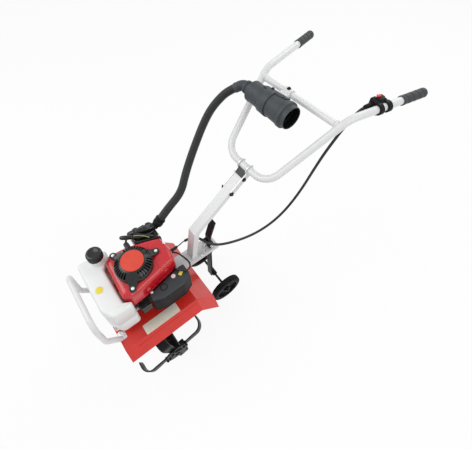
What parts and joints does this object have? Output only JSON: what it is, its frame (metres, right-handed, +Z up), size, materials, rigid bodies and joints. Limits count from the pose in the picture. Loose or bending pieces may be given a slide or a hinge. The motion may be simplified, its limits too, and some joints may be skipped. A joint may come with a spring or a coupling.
{
  "type": "power weeder",
  "caption": "Walk-behind power weeder with a small two-stroke engine, bent rotary tines under a fender, a drag stake on small wheels and a U-shaped handlebar.",
  "frame": {"origin": "on the ground, under the middle of the whole machine (cords left out)", "axes": "+X to the operator's left, +Y backwards to the operator's handles, +Z up; the machine drives towards -Y"},
  "size_m": [0.5042, 1.1624, 0.9055],
  "materials": {
    "white_tube": "gloss",
    "grip_rubber": "matte",
    "black_metal": "gloss",
    "engine_metal": "cast",
    "red_plastic": "gloss",
    "red_paint": "gloss",
    "black_plastic": "satin",
    "badge_plastic": "gloss",
    "tank_plastic": "satin, slightly translucent",
    "silver_metal": "silver",
    "steel": "bare",
    "hose_rubber": "satin",
    "switch_plastic": "gloss",
    "tyre_rubber": "matte"
  },
  "bodies": {
    "chassis": {"air_box": "black_plastic", "base_plate": "silver_metal", "cable_boot": "hose_rubber", "can_bracket": "black_plastic", "can_elbow": "black_plastic", "carburettor": "engine_metal", "clamp_block": "black_plastic", "engine_block": "engine_metal", "engine_shroud": "red_plastic", "fender": "red_paint", "front_bumper": "silver_metal", "fuel_cap": "black_plastic", "fuel_tank": "tank_plastic", "gearbox_housing": "black_metal", "handle_post": "white_tube", "handlebar_crossbar": "white_tube", "handlebar_tube": "white_tube", "hose_collar": "black_plastic", "intake_hose": "hose_rubber", "left_cheek_plate": "silver_metal", "left_grip": "grip_rubber", "muffler": "steel", "muffler_guard": "black_metal", "precleaner_can": "black_plastic", "recoil_starter": "black_plastic", "right_cheek_plate": "silver_metal", "right_grip": "grip_rubber", "stake_guide": "silver_metal", "stake_lock_pin": "steel", "starter_badge": "badge_plastic", "starter_handle": "black_plastic", "stop_switch": "switch_plastic", "tank_tray": "silver_metal", "throttle_cable": "hose_rubber", "throttle_housing": "black_plastic", "throttle_wire": "steel"},
    "stake": {"drag_stake": "black_metal", "wheel_axle": "steel"},
    "left_wheel": {"left_wheel_rim": "black_plastic", "left_tyre": "tyre_rubber"},
    "right_wheel": {"right_wheel_rim": "black_plastic", "right_tyre": "tyre_rubber"},
    "tine_rotor": {"tine_shaft": "black_metal", "left_tine_hub": "black_metal", "right_tine_hub": "black_metal", "left_inner_lower_tine": "black_metal", "left_inner_upper_tine": "black_metal", "left_outer_front_tine": "black_metal", "left_outer_lower_tine": "black_metal", "left_outer_rear_tine": "black_metal", "left_outer_upper_tine": "black_metal", "right_inner_lower_tine": "black_metal", "right_inner_upper_tine": "black_metal", "right_outer_front_tine": "black_metal", "right_outer_lower_tine": "black_metal", "right_outer_rear_tine": "black_metal", "right_outer_upper_tine": "black_metal"}
  },
  "joints": [
    {"name": "tine_rotor_spin", "type": "hinge", "parent": "chassis", "child": "tine_rotor", "pos_m": [0, -0.4042, 0.135], "axis": [1, 0, 0], "continuous": true},
    {"name": "drag_stake_slide", "type": "slide", "parent": "chassis", "child": "stake", "axis": [0, 0, -1], "range_m": [0, 0.03]},
    {"name": "left_wheel_spin", "type": "hinge", "parent": "stake", "child": "left_wheel", "pos_m": [0.1, -0.0872, 0.07], "axis": [1, 0, 0], "continuous": true},
    {"name": "right_wheel_spin", "type": "hinge", "parent": "stake", "child": "right_wheel", "pos_m": [-0.1, -0.0872, 0.07], "axis": [1, 0, 0], "continuous": true}
  ]
}
